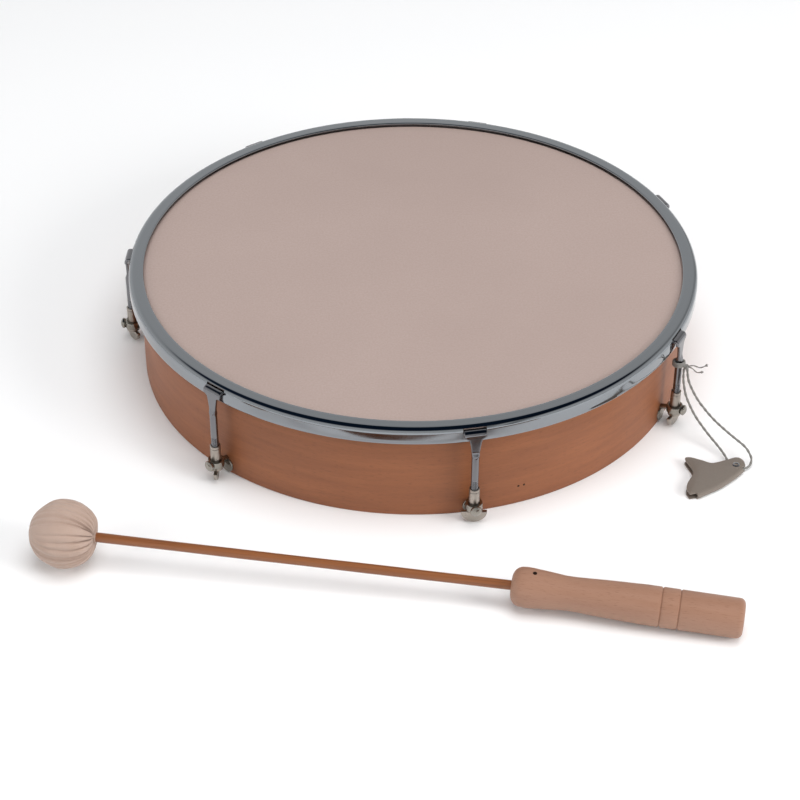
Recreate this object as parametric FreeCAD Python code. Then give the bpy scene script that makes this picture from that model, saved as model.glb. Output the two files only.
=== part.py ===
import FreeCAD, Part
import math
import os

# Tunable frame drum with its beater and its tuning key, in millimetres.
# The drum stands on its open side: z = 0 is the shell's lower rim, and +Z is the drum's axis.
# Angles round the drum are counted from -Y (the player's side) towards +X.

# How far a cutter or a joined solid runs past the face that it works on
overlap = 0.5

# Shell: a ring of bent plywood
shell_outer_radius = 152.4
shell_wall = 6.0
shell_depth = 57.5
bearing_land_inset = 3.3
bearing_land_width = 1.2
outer_bevel_drop = 3.2
inner_bevel_drop = 1.6
rim_round = 0.8
scarf_brad_radius = 0.8
scarf_brad_length = 5.0
scarf_brad_height = 11.5
scarf_brad_spacing = 3.2
scarf_angle = 22.0

# Head: a skin lapped round a wire flesh hoop, held down by a pressed steel counterhoop
skin_thickness = 0.4
flesh_wire_radius = 1.6
flesh_clearance = 0.3
skin_tuck_angle = 125.0
head_drop = 0.9
hoop_sheet = 1.2
hoop_height = 9.2
hoop_flange_reach = 8.2
hoop_corner_radius = 2.8
hoop_seat_clearance = 0.05
hoop_side_clearance = 0.3

# Tension hooks, one to each bracket
lug_count = 7
first_lug_angle = 11.6
hook_strap_thickness = 1.6
hook_bar_width = 11.6
hook_bar_depth = 2.8
hook_shoulder_width = 6.6
hook_shoulder_drop = 4.4
hook_shoulder_share = 0.35
hook_bend_inner = 0.6
hook_fan_length = 13.2
hook_rod_radius = 2.0
hook_end_gap = 1.4
hook_rod_merge = 3.0
hook_tip_chamfer = 0.5
tongue_drop = 3.3
tongue_tip_clearance = 0.35
slot_side_clearance = 0.3
slot_seat_clearance = 0.05
slot_top_clearance = 0.1
thread_pitch = 0.7
loosening_turns = 1

# Brackets: an eye on an arm that rises from a round foot, bolted through the shell
eye_thickness = 4.2
eye_wall = 1.55
eye_round = 0.7
foot_height = 4.9
foot_radius = 4.3
foot_thickness = 1.0
foot_round = 0.6
arm_radius = 1.5
arm_start_height = 9.1
cap_radius = 2.9
cap_length = 2.4
cap_dome_rise = 1.2
stud_radius = 2.0
stud_hole_clearance = 0.15
washer_radius = 4.5
washer_thickness = 0.8
washer_bore_clearance = 0.15
nut_sides = 6
nut_across_flats = 7.0
nut_thickness = 3.2
stud_overhang = 0.8
curved_seat_clearance = 0.03

# Tension nuts: a threaded barrel with a flat half-round tab for the key
barrel_wall = 0.8
barrel_reach = 9.4
barrel_eye_clearance = 0.05
barrel_collar_step = 0.7
barrel_collar_height = 1.5
collar_seat_clearance = 0.05
thread_clearance = 0.04
bore_floor = 2.15
tab_radius = 6.8
tab_thickness = 2.0
tab_foot_gap = 0.65
tab_side_clearance = 0.3
tab_directions = (0.0, 57.0, 118.0, 25.0, 150.0, 124.0, 88.0)

# Tuning key: a fish-shaped steel sheet folded double, with an eyelet through its nose
key_sheet = 0.8
key_gap = 2.3
key_angle = 56.75
key_distance = 53.87
eyelet_radius = 1.5
eyelet_bore = 0.7
eyelet_flange_radius = 2.0
eyelet_flange = 0.2

# Cord from the hook at the right to the key
cord_radius = 0.7
knot_hook_index = 1
knot_angle = -35.0
knot_drop = 16.0
knot_radius = 1.9
wrap_clearance = 0.3
tail_radius = 0.55
tail_tip_radius = 1.0
tail_ends = ((10.6, -3.8, 3.9), (8.0, -5.8, 0.9))
bend_share = 0.45

# Beater: a cloth-covered ball on a cane shaft with a turned beech handle
ball_left = 173.2
ball_distance = 37.6
ball_radius = 17.8
ball_flat_drop = 1.9
cloth_thickness = 1.2
core_clearance = 0.1
tie_radius = 0.6
cane_radius = 2.4
cane_embed = 8.0
handle_distance = 224.7
handle_length = 113.5
handle_bore_depth = 40.0
handle_bore_end_gap = 1.0
handle_front_round = 5.5
handle_shoulder_drop = 0.1
handle_bulb_radius = 10.0
handle_waist_radius = 8.5
handle_grip_radius = 9.9
handle_swell_share = 0.55
handle_rear_round = 3.0
handle_bulb_at = 9.0
handle_waist_at = 29.0
handle_grip_at = 66.0
groove_places = (73.3, 82.2)
groove_width = 1.0
groove_depth = 0.6
beater_yaw = -7.65
handle_yaw = -2.5
pin_place = 11.0
pin_radius = 0.75
pin_recess = 0.5
pin_length = 13.0

# Worked out from the sizes above
shell_inner_radius = shell_outer_radius - shell_wall
land_outer = shell_outer_radius - bearing_land_inset
land_inner = land_outer - bearing_land_width
skin_top = shell_depth + skin_thickness
hoop_top = skin_top + head_drop + hoop_sheet
flesh_radius = shell_outer_radius + flesh_clearance + skin_thickness + flesh_wire_radius
flesh_height = hoop_top - hoop_sheet - hoop_seat_clearance - skin_thickness - flesh_wire_radius
skirt_inner = flesh_radius + flesh_wire_radius + skin_thickness + hoop_side_clearance
skirt_outer = skirt_inner + hoop_sheet
flange_inner = skirt_outer - hoop_flange_reach
hook_axis = shell_outer_radius + foot_thickness + tab_side_clearance + tab_radius
ball_flat = ball_radius - ball_flat_drop
strap_inner = hook_axis - hook_strap_thickness / 2
strap_outer = hook_axis + hook_strap_thickness / 2
tongue_height = hoop_top - tongue_drop
tongue_top = tongue_height + hook_strap_thickness
hook_fan_bottom = tongue_height - hook_fan_length
tongue_tip = skirt_inner - hoop_side_clearance + tongue_tip_clearance
hook_travel = loosening_turns * thread_pitch
tab_top = tab_foot_gap + tab_radius
collar_top = tab_top + barrel_collar_height
eye_bottom = collar_top + collar_seat_clearance
eye_top = eye_bottom + eye_thickness
eye_height = eye_bottom + eye_thickness / 2
thread_bottom = tab_top + bore_floor
hook_rod_bottom = thread_bottom + hook_end_gap
barrel_radius = hook_rod_radius + barrel_wall
barrel_top = eye_top + barrel_reach
barrel_collar_radius = barrel_radius + barrel_collar_step
eye_bore = barrel_radius + barrel_eye_clearance
eye_radius = eye_bore + eye_wall
key_thickness = 2 * key_sheet + key_gap
key_radius = shell_outer_radius + key_distance
eyelet_x = key_radius * math.sin(math.radians(key_angle))
eyelet_y = -key_radius * math.cos(math.radians(key_angle))
knot_height = tongue_height - knot_drop
ball_y = -shell_outer_radius - ball_distance
axis_z = FreeCAD.Vector(0, 0, 1)
axis_x = FreeCAD.Vector(1, 0, 0)
axis_y = FreeCAD.Vector(0, 1, 0)
centre = FreeCAD.Vector(0, 0, 0)

# Route of the key's cord: down from the knot, round the eyelet inside the key, and up again
cord_route = (
    (145.6, -75.4, 39.0),
    (145.8, -75.8, 31.5),
    (147.6, -78.4, 23.0),
    (152.4, -84.0, 14.4),
    (159.0, -92.2, 8.6),
    (165.0, -99.0, 4.4),
    (168.6, -105.2, 2.1),
    (169.2, -114.4, 1.95),
    (173.4, -116.3, 1.95),
    (180.2, -112.0, 1.7),
    (181.6, -108.6, 4.4),
    (178.4, -105.4, 9.4),
    (170.6, -98.2, 12.2),
    (161.6, -89.0, 15.8),
    (153.4, -80.4, 22.6),
    (148.6, -75.8, 31.0),
    (147.4, -75.0, 39.0),
)


def save(name, shape):
    shape.exportStep("parts/" + name + ".step")
    print(name, "solids", len(shape.Solids), "volume", round(shape.Volume, 1), "valid", shape.isValid())


def flat_point(point):
    """A point of a profile, (radius, height), in the XZ plane."""
    return FreeCAD.Vector(point[0], 0, point[1])


def outline(start, steps, place=flat_point):
    """A closed face from steps: ("line", end), ("arc", middle, end) or ("curve", points, end)."""
    edges = []
    here = place(start)
    for step in steps:
        there = place(step[-1])
        if step[0] == "arc":
            edges.append(Part.Arc(here, place(step[1]), there).toShape())
        elif step[0] == "curve":
            curve = Part.BSplineCurve()
            curve.interpolate([here] + [place(p) for p in step[1]] + [there])
            edges.append(curve.toShape())
        else:
            edges.append(Part.LineSegment(here, there).toShape())
        here = there
    if here.distanceToPoint(place(start)) > 1e-6:
        edges.append(Part.LineSegment(here, place(start)).toShape())
    return Part.Face(Part.Wire(edges))


def arc_point(centre_point, radius, degrees):
    angle = math.radians(degrees)
    return (centre_point[0] + radius * math.cos(angle), centre_point[1] + radius * math.sin(angle))


def turned(face):
    """A face in the XZ plane turned round the drum's axis."""
    return face.revolve(centre, axis_z, 360)


def turned_along_x(face, height=0.0):
    """A face of (distance, radius) turned round the X axis and lifted to a height."""
    solid = face.revolve(centre, axis_x, 360)
    solid.translate(FreeCAD.Vector(0, 0, height))
    return solid


def rod_x(radius, start, end, height=0.0):
    return Part.makeCylinder(radius, end - start, FreeCAD.Vector(start, 0, height), axis_x)


def rod_z(radius, bottom, top, distance=0.0):
    return Part.makeCylinder(radius, top - bottom, FreeCAD.Vector(distance, 0, bottom), axis_z)


def lug_angle(index):
    return first_lug_angle + index * 360.0 / lug_count


def at_lug(shape, index):
    """A shape built with the radius along +X, turned to its own place round the drum."""
    moved = shape.copy()
    moved.rotate(centre, axis_z, lug_angle(index) - 90)
    return moved


def at_every_lug(shape):
    return Part.makeCompound([at_lug(shape, index) for index in range(lug_count)])


def scarf_brad(shift):
    """A brad with its length along the radius, flush with the shell's outside."""
    offset = math.degrees(shift / shell_outer_radius)
    start = shell_outer_radius - scarf_brad_length
    brad = rod_x(scarf_brad_radius, start, shell_outer_radius, scarf_brad_height)
    brad.rotate(centre, axis_z, scarf_angle + offset - 90)
    return brad


def make_scarf_brads():
    half = scarf_brad_spacing / 2
    return Part.makeCompound([scarf_brad(-half), scarf_brad(half)])


def make_shell():
    lower_in = shell_inner_radius + rim_round
    lower_out = shell_outer_radius - rim_round
    diagonal = rim_round * (1 - math.sqrt(0.5))
    face = outline(
        (lower_in, 0),
        [
            ("line", (lower_out, 0)),
            ("arc", (shell_outer_radius - diagonal, diagonal), (shell_outer_radius, rim_round)),
            ("line", (shell_outer_radius, shell_depth - outer_bevel_drop)),
            ("line", (land_outer, shell_depth)),
            ("line", (land_inner, shell_depth)),
            ("line", (shell_inner_radius, shell_depth - inner_bevel_drop)),
            ("line", (shell_inner_radius, rim_round)),
            ("arc", (shell_inner_radius + diagonal, diagonal), (lower_in, 0)),
        ],
    )
    shell = turned(face)
    hole_radius = stud_radius + stud_hole_clearance
    hole = rod_x(hole_radius, washer_seat(), shell_outer_radius + overlap, foot_height)
    return shell.cut(at_every_lug(hole)).cut(make_scarf_brads())


def tangent_under(point, circle, radius):
    """Where a straight line from a point touches the underside of a circle."""
    across = circle[0] - point[0]
    up = circle[1] - point[1]
    reach = math.hypot(across, up)
    direction = math.atan2(up, across) - math.asin(radius / reach)
    length = math.sqrt(reach * reach - radius * radius)
    return (point[0] + length * math.cos(direction), point[1] + length * math.sin(direction))


def make_skin():
    wire = (flesh_radius, flesh_height)
    outer_wrap = flesh_wire_radius + skin_thickness
    upper_bend = (land_outer, skin_top)
    lower_bend = (land_outer, shell_depth)
    upper_touch = tangent_under(upper_bend, wire, flesh_wire_radius)
    lower_touch = tangent_under(lower_bend, wire, outer_wrap)
    tuck_end = arc_point(wire, flesh_wire_radius, skin_tuck_angle)
    face = outline(
        (0, skin_top),
        [
            ("line", upper_bend),
            ("line", upper_touch),
            ("arc", arc_point(wire, flesh_wire_radius, 0), tuck_end),
            ("line", arc_point(wire, outer_wrap, skin_tuck_angle)),
            ("arc", arc_point(wire, outer_wrap, 0), lower_touch),
            ("line", lower_bend),
            ("line", (0, shell_depth)),
        ],
    )
    return turned(face)


def make_flesh_hoop():
    return Part.makeTorus(flesh_radius, flesh_wire_radius, FreeCAD.Vector(0, 0, flesh_height), axis_z)


def hook_slot():
    """The opening in the counterhoop's skirt that a hook's tongue goes into."""
    width = hook_bar_width + 2 * slot_side_clearance
    bottom = tongue_height - slot_seat_clearance
    top = tongue_top + hook_travel + slot_top_clearance
    place = FreeCAD.Vector(skirt_inner - overlap, -width / 2, bottom)
    return Part.makeBox(strap_inner - place.x, width, top - bottom, place)


def make_counterhoop():
    inner_corner = hoop_corner_radius - hoop_sheet
    corner = (skirt_outer - hoop_corner_radius, hoop_top - hoop_corner_radius)
    skirt_bottom = hoop_top - hoop_height
    face = outline(
        (skirt_inner, skirt_bottom),
        [
            ("line", (skirt_outer, skirt_bottom)),
            ("line", (skirt_outer, corner[1])),
            ("arc", arc_point(corner, hoop_corner_radius, 45), (corner[0], hoop_top)),
            ("line", (flange_inner, hoop_top)),
            ("line", (flange_inner, hoop_top - hoop_sheet)),
            ("line", (corner[0], hoop_top - hoop_sheet)),
            ("arc", arc_point(corner, inner_corner, 45), (skirt_inner, corner[1])),
        ],
    )
    return turned(face).cut(at_every_lug(hook_slot()))


def make_foot():
    """The bracket's round foot: flat outside with a broken edge, and curved to sit on the shell."""
    start = shell_outer_radius - overlap
    end = shell_outer_radius + foot_thickness
    edge = (end - foot_round, foot_radius - foot_round)
    foot = turned_along_x(
        outline(
            (start, 0),
            [
                ("line", (start, foot_radius)),
                ("line", (edge[0], foot_radius)),
                ("arc", arc_point(edge, foot_round, 45), (end, edge[1])),
                ("line", (end, 0)),
            ],
        ),
        foot_height,
    )
    return foot


def make_arm():
    """The rod that rises from the foot's upper half to the eye."""
    start = FreeCAD.Vector(shell_outer_radius - overlap, 0, arm_start_height)
    along = FreeCAD.Vector(hook_axis, 0, eye_height) - start
    return Part.makeCylinder(arm_radius, along.Length, start, along)


def make_cap():
    """The rounded cap on the eye's outer side."""
    start = hook_axis + eye_radius - overlap
    end = hook_axis + eye_radius + cap_length
    dome_radius = (cap_dome_rise**2 + cap_radius**2) / (2 * cap_dome_rise)
    half_dome = math.degrees(math.asin(cap_radius / dome_radius)) / 2
    return turned_along_x(
        outline(
            (start, 0),
            [
                ("line", (start, cap_radius)),
                ("line", (end - cap_dome_rise, cap_radius)),
                ("arc", arc_point((end - dome_radius, 0), dome_radius, half_dome), (end, 0)),
            ],
        ),
        eye_height,
    )


def make_bracket():
    """Foot, arm, eye, cap and the stud that goes through the shell, with the radius along +X."""
    base = make_foot().fuse(make_arm()).cut(rod_z(shell_outer_radius, 0, shell_depth))
    eye = rod_z(eye_radius, eye_bottom, eye_top, hook_axis)
    eye = eye.makeFillet(eye_round, [edge for edge in eye.Edges if isinstance(edge.Curve, Part.Circle)])
    stud = rod_x(stud_radius, stud_end(), shell_outer_radius + overlap, foot_height)
    bracket = base.fuse([eye, make_cap(), stud]).removeSplitter()
    collar_room = rod_z(barrel_collar_radius + collar_seat_clearance, 0, eye_bottom, hook_axis)
    return bracket.cut([rod_z(eye_bore, 0, barrel_top, hook_axis), collar_room])


def washer_seat():
    """The distance of a washer's outer face from the axis, flat against the curved wall."""
    return math.sqrt(shell_inner_radius**2 - washer_radius**2) - curved_seat_clearance


def stud_end():
    return washer_seat() - washer_thickness - nut_thickness - stud_overhang


def make_washer():
    seat = washer_seat()
    disc = rod_x(washer_radius, seat - washer_thickness, seat, foot_height)
    return disc.cut(rod_x(stud_radius + washer_bore_clearance, stud_end(), seat + overlap, foot_height))


def make_nut():
    outer = washer_seat() - washer_thickness
    corner = nut_across_flats / 2 / math.cos(math.pi / nut_sides)
    points = []
    for side in range(nut_sides + 1):
        angle = 2 * math.pi * side / nut_sides
        across = corner * math.cos(angle)
        points.append(FreeCAD.Vector(outer, across, foot_height + corner * math.sin(angle)))
    hexagon = Part.Face(Part.makePolygon(points)).extrude(FreeCAD.Vector(-nut_thickness, 0, 0))
    return hexagon.cut(rod_x(stud_radius, stud_end(), outer + overlap, foot_height))


def hook_side():
    """The hook's bent strip seen along the hoop: tongue, bend and strap, as wide as its bar."""
    bend = (strap_inner - hook_bend_inner, tongue_height - hook_bend_inner)
    outer_bend = hook_bend_inner + hook_strap_thickness
    face = outline(
        (tongue_tip, tongue_height),
        [
            ("line", (bend[0], tongue_height)),
            ("arc", arc_point(bend, hook_bend_inner, 45), (strap_inner, bend[1])),
            ("line", (strap_inner, hook_fan_bottom)),
            ("line", (strap_outer, hook_fan_bottom)),
            ("line", (strap_outer, bend[1])),
            ("arc", arc_point(bend, outer_bend, 45), (bend[0], tongue_top)),
            ("line", (tongue_tip, tongue_top)),
        ],
    )
    face.translate(FreeCAD.Vector(0, -hook_bar_width / 2, 0))
    return face.extrude(FreeCAD.Vector(0, hook_bar_width, 0))


def hook_front():
    """The hook's outline seen from outside: a bar, round shoulders and a narrowing fan."""
    bar = hook_bar_width / 2
    shoulder = hook_shoulder_width / 2
    bar_bottom = tongue_top - hook_bar_depth
    shoulder_height = tongue_top - hook_shoulder_drop
    inner_y = shoulder + hook_shoulder_share * (bar - shoulder)
    inner = (inner_y, bar_bottom - hook_shoulder_share * (bar_bottom - shoulder_height))

    def place(point):
        return FreeCAD.Vector(tongue_tip - overlap, point[0], point[1])

    face = outline(
        (-bar, tongue_top),
        [
            ("line", (bar, tongue_top)),
            ("line", (bar, bar_bottom)),
            ("arc", inner, (shoulder, shoulder_height)),
            ("line", (hook_rod_radius, hook_fan_bottom)),
            ("line", (-hook_rod_radius, hook_fan_bottom)),
            ("line", (-shoulder, shoulder_height)),
            ("arc", (-inner[0], inner[1]), (-bar, bar_bottom)),
        ],
        place,
    )
    return face.extrude(FreeCAD.Vector(strap_outer - tongue_tip + 2 * overlap, 0, 0))


def make_hook():
    strip = hook_side().common(hook_front())
    rod_top = hook_fan_bottom + hook_rod_merge
    rod = turned(
        outline(
            (0, hook_rod_bottom),
            [
                ("line", (hook_rod_radius - hook_tip_chamfer, hook_rod_bottom)),
                ("line", (hook_rod_radius, hook_rod_bottom + hook_tip_chamfer)),
                ("line", (hook_rod_radius, hook_fan_bottom)),
                ("line", (hook_strap_thickness / 2, rod_top)),
                ("line", (0, rod_top)),
            ],
        )
    )
    rod.translate(FreeCAD.Vector(hook_axis, 0, 0))
    return strip.fuse(rod).removeSplitter()


def make_tension_nut(direction):
    """A barrel nut whose tab lies along a direction, in degrees from its lug's radius."""
    barrel = rod_z(barrel_radius, collar_top - overlap, barrel_top)
    collar = rod_z(barrel_collar_radius, tab_top - overlap, collar_top)
    disc_place = FreeCAD.Vector(0, -tab_thickness / 2, tab_top)
    disc = Part.makeCylinder(tab_radius, tab_thickness, disc_place, axis_y)
    half_place = FreeCAD.Vector(-tab_radius, -tab_thickness, tab_foot_gap)
    below = Part.makeBox(2 * tab_radius, 2 * tab_thickness, tab_radius, half_place)
    tab = disc.common(below)
    nut = barrel.fuse([collar, tab]).removeSplitter()
    nut = nut.cut(rod_z(hook_rod_radius + thread_clearance, thread_bottom, barrel_top + overlap))
    nut.rotate(centre, axis_z, direction)
    nut.translate(FreeCAD.Vector(hook_axis, 0, 0))
    return nut


def key_point(point):
    """A point of the key, counted from its eyelet, in the plane that the key lies on."""
    return FreeCAD.Vector(eyelet_x + point[0], eyelet_y + point[1], 0)


def key_outline():
    """The key from above: nose to the right, two tail lobes to the left, fold along the front."""
    return outline(
        (4.9, -1.2),
        [
            ("arc", (4.4, 3.5), (1.2, 6.3)),
            ("curve", [(-4.5, 4.1)], (-12.3, 1.3)),
            ("curve", [(-17.5, 3.5)], (-23.1, 5.9)),
            ("arc", (-26.2, 5.7), (-26.3, 2.9)),
            ("curve", [(-23.9, -3.7)], (-23.7, -8.4)),
            ("curve", [(-26.9, -14.9)], (-28.2, -20.5)),
            ("arc", (-26.9, -24.9), (-22.3, -25.5)),
            ("curve", [(-9.7, -17.1), (-1.3, -9.3)], (3.9, -3.5)),
            ("arc", (4.8, -2.5), (4.9, -1.25)),
        ],
        key_point,
    )


def key_pocket():
    """The space between the key's two leaves, open everywhere but along the fold."""
    face = outline(
        (8.5, -3.1),
        [
            ("line", (8.5, 10.1)),
            ("line", (-32.5, 10.1)),
            ("line", (-32.5, -27.9)),
            ("line", (-22.9, -27.9)),
            ("line", (-21.9, -24.3)),
            ("curve", [(-10.3, -16.5), (-1.9, -8.7)], (2.9, -3.1)),
        ],
        key_point,
    )
    pocket = face.extrude(FreeCAD.Vector(0, 0, key_gap))
    pocket.translate(FreeCAD.Vector(0, 0, key_sheet))
    return pocket


def eyelet_hole(radius, bottom, top):
    return Part.makeCylinder(radius, top - bottom, FreeCAD.Vector(eyelet_x, eyelet_y, bottom), axis_z)


def make_key():
    blank = key_outline().extrude(FreeCAD.Vector(0, 0, key_thickness))
    key = blank.cut(key_pocket())
    return key.cut(eyelet_hole(eyelet_radius, -overlap, key_thickness + overlap))


def make_eyelet():
    body = eyelet_hole(eyelet_radius, 0, key_thickness)
    flange_top = key_thickness + eyelet_flange
    flange = eyelet_hole(eyelet_flange_radius, key_thickness, flange_top)
    blank = body.fuse(flange).removeSplitter()
    return blank.cut(eyelet_hole(eyelet_bore, -overlap, flange_top + overlap))


def tangent_path(points):
    """Straight runs joined by tangent arcs, each as large as its two runs allow."""
    corners = [FreeCAD.Vector(*point) for point in points]
    edges = []
    radii = []
    here = corners[0]
    for before, corner, after in zip(corners, corners[1:], corners[2:]):
        back = (before - corner).normalize()
        ahead = (after - corner).normalize()
        half_turn = (math.pi - back.getAngle(ahead)) / 2
        setback = bend_share * min(corner.distanceToPoint(before), corner.distanceToPoint(after))
        radius = setback / math.tan(half_turn)
        start = corner + back * setback
        end = corner + ahead * setback
        middle_way = (back + ahead).normalize()
        middle = corner + middle_way * (radius / math.cos(half_turn) - radius)
        edges.append(Part.LineSegment(here, start).toShape())
        edges.append(Part.Arc(start, middle, end).toShape())
        radii.append(round(radius, 1))
        here = end
    edges.append(Part.LineSegment(here, corners[-1]).toShape())
    return Part.Wire(edges), radii


def make_cord():
    path, radii = tangent_path(cord_route)
    first = path.Edges[0]
    start = first.valueAt(first.FirstParameter)
    section = Part.Wire(Part.makeCircle(cord_radius, start, first.tangentAt(first.FirstParameter)))
    cord = path.makePipeShell([section], True, False)
    expected = math.pi * cord_radius**2 * path.Length
    print("cord length", round(path.Length, 1), "bend radii", radii)
    print("cord volume", round(cord.Volume, 1), "section times length", round(expected, 1))
    return cord


def ball_at(radius, point):
    """A ball whose poles lie along Y, clear of the cord ends that go into it."""
    return Part.makeSphere(radius, point, axis_y)


def make_knot():
    angle = math.radians(lug_angle(knot_hook_index))
    hook_place = FreeCAD.Vector(hook_axis * math.sin(angle), -hook_axis * math.cos(angle), 0)
    knot_distance = hook_rod_radius + wrap_clearance + knot_radius
    knot_side = math.radians(knot_angle)
    knot_place = hook_place + FreeCAD.Vector(
        knot_distance * math.cos(knot_side), knot_distance * math.sin(knot_side), knot_height
    )
    lower_turn = knot_height - cord_radius
    upper_turn = knot_height + cord_radius
    wrap_inside = hook_rod_radius + wrap_clearance
    wrap_radius = wrap_inside + cord_radius
    wrap_outside = wrap_radius + cord_radius
    wraps = turned(
        outline(
            (wrap_inside, lower_turn),
            [
                ("arc", (wrap_radius, knot_height - 2 * cord_radius), (wrap_outside, lower_turn)),
                ("line", (wrap_outside, upper_turn)),
                ("arc", (wrap_radius, knot_height + 2 * cord_radius), (wrap_inside, upper_turn)),
            ],
        )
    )
    wraps.translate(hook_place)
    pieces = [wraps]
    for end in tail_ends:
        along = FreeCAD.Vector(*end)
        pieces.append(Part.makeCylinder(tail_radius, along.Length, knot_place, along))
        pieces.append(ball_at(tail_tip_radius, knot_place + along))
    return ball_at(knot_radius, knot_place).fuse(pieces)


def beater_pitch():
    """The angle by which the shaft dips from the ball to the handle's rear edge, both on the ground."""
    reach = handle_distance + handle_length - handle_rear_round
    return math.degrees(math.asin((ball_radius - handle_grip_radius) / reach))


def lay_beater(shape):
    """Moves a beater piece from its own frame, ball at the origin and shaft along +X, to its place."""
    laid = shape.copy()
    laid.rotate(centre, axis_y, beater_pitch())
    laid.rotate(centre, axis_z, beater_yaw)
    laid.translate(FreeCAD.Vector(-ball_left, ball_y, ball_radius))
    return laid


def on_handle(shape):
    """Turns a handle piece, built with its front at the origin, to the slight angle of its bore."""
    moved = shape.copy()
    moved.rotate(centre, axis_z, handle_yaw)
    moved.translate(FreeCAD.Vector(handle_distance, 0, 0))
    return moved


def flat_ball(radius, flat):
    """A ball flattened on the shaft's side."""
    ball = Part.makeSphere(radius)
    return ball.common(rod_x(2 * radius, -2 * radius, flat))


def pin_rod(length):
    """The handle's pin, or the drill for it, from the pin's lower end upwards."""
    bottom = handle_bulb_radius - pin_recess - pin_length
    return on_handle(rod_z(pin_radius, bottom, bottom + length, pin_place))


def make_pin():
    return pin_rod(pin_length)


def make_cane():
    cane = rod_x(cane_radius, -cane_embed, handle_distance + handle_bore_depth - handle_bore_end_gap)
    return cane.cut(make_pin())


def groove_steps():
    steps = []
    for place in groove_places:
        steps.append(("line", (place - groove_width / 2, handle_grip_radius)))
        steps.append(("line", (place, handle_grip_radius - groove_depth)))
        steps.append(("line", (place + groove_width / 2, handle_grip_radius)))
    return steps


def make_handle():
    shoulder = (handle_front_round, handle_bulb_radius - handle_shoulder_drop)
    corner = (handle_front_round, shoulder[1] - handle_front_round)
    rear = (handle_length - handle_rear_round, handle_grip_radius - handle_rear_round)
    swell = handle_grip_radius - handle_waist_radius
    waist_run = [
        (handle_bulb_at, handle_bulb_radius),
        ((handle_bulb_at + handle_waist_at) / 2, (handle_bulb_radius + handle_waist_radius) / 2),
        (handle_waist_at, handle_waist_radius),
        ((handle_waist_at + handle_grip_at) / 2, handle_waist_radius + handle_swell_share * swell),
    ]
    face = outline(
        (0, 0),
        [
            ("line", (0, corner[1])),
            ("arc", arc_point(corner, handle_front_round, 135), shoulder),
            ("curve", waist_run, (handle_grip_at, handle_grip_radius)),
        ]
        + groove_steps()
        + [
            ("line", (rear[0], handle_grip_radius)),
            ("arc", arc_point(rear, handle_rear_round, 45), (handle_length, rear[1])),
            ("line", (handle_length, 0)),
        ],
    )
    handle = on_handle(turned_along_x(face))
    bore = rod_x(cane_radius, handle_distance - overlap, handle_distance + handle_bore_depth)
    return handle.cut(bore).cut(pin_rod(pin_length + pin_recess + overlap))


def make_cloth():
    inside = flat_ball(ball_radius - cloth_thickness, ball_flat - cloth_thickness)
    return flat_ball(ball_radius, ball_flat).cut(inside).cut(rod_x(cane_radius, 0, 2 * ball_radius))


def make_core():
    skin = cloth_thickness + core_clearance
    socket = rod_x(cane_radius, -cane_embed, 2 * ball_radius)
    return flat_ball(ball_radius - skin, ball_flat - skin).cut(socket)


def make_tie():
    place = FreeCAD.Vector(ball_flat + tie_radius, 0, 0)
    return Part.makeTorus(cane_radius + tie_radius, tie_radius, place, axis_x)


os.makedirs("parts", exist_ok=True)
save("shell", make_shell())
save("scarf_brads", make_scarf_brads())
save("skin_head", make_skin())
save("flesh_hoop", make_flesh_hoop())
save("counterhoop", make_counterhoop())
save("bracket_washers", at_every_lug(make_washer()))
save("bracket_nuts", at_every_lug(make_nut()))

bracket = make_bracket()
hook = make_hook()
for index in range(lug_count):
    number = str(index + 1)
    save("bracket_" + number, at_lug(bracket, index))
    save("tension_hook_" + number, at_lug(hook, index))
    tension_nut = make_tension_nut(tab_directions[index] - lug_angle(index) + 90)
    save("tension_nut_" + number, at_lug(tension_nut, index))

save("tuning_key", make_key())
save("key_eyelet", make_eyelet())
save("key_cord", make_cord())
save("cord_knot", make_knot())

save("beater_core", lay_beater(make_core()))
save("beater_cloth", lay_beater(make_cloth()))
save("cloth_tie", lay_beater(make_tie()))
save("beater_cane", lay_beater(make_cane()))
save("beater_handle", lay_beater(make_handle()))
save("handle_pin", lay_beater(make_pin()))
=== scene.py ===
import math
import random

import bmesh
import bpy
from mathutils import Matrix, Vector, noise


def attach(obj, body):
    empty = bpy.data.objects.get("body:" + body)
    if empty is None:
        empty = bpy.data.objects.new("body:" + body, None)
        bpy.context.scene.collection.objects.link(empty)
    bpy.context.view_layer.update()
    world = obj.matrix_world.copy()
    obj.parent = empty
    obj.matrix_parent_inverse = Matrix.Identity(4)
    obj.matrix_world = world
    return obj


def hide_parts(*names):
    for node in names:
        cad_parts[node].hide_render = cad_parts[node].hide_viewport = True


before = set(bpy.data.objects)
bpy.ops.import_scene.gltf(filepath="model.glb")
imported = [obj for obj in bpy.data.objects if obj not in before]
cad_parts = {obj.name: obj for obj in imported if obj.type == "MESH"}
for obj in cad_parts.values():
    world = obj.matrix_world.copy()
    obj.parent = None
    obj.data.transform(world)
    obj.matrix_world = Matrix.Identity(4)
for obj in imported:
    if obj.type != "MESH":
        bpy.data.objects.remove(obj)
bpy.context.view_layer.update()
scene = bpy.context.scene
random.seed(7)

# All lengths are in metres. The drum's axis is +Z, and its lower rim is at z = 0.
lug = {
    "count": 7,
    "first": 11.6,  # degrees from the front to the first lug
    "axis": 0.1605,  # from the drum's axis to a hook's
    "eye": 0.0111,  # height of a bracket's eye
}
tabDirections = (0.0, 57.0, 118.0, 25.0, 150.0, 124.0, 88.0)  # each nut's tab, in degrees


def lugTurn(index):
    return math.radians(lug["first"] + index * 360 / lug["count"] - 90)


# Camera, in metres, millimetres of lens and degrees
camera = {
    "distance": 1.2,
    "elevation": 33.15,
    "aim": (0, 0, 0.06),
    "lens": 96.48,
    "sensor": 36,
    "pan": -0.32,
    "tilt": -3.82,
    "roll": 0.42,
}


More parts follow.
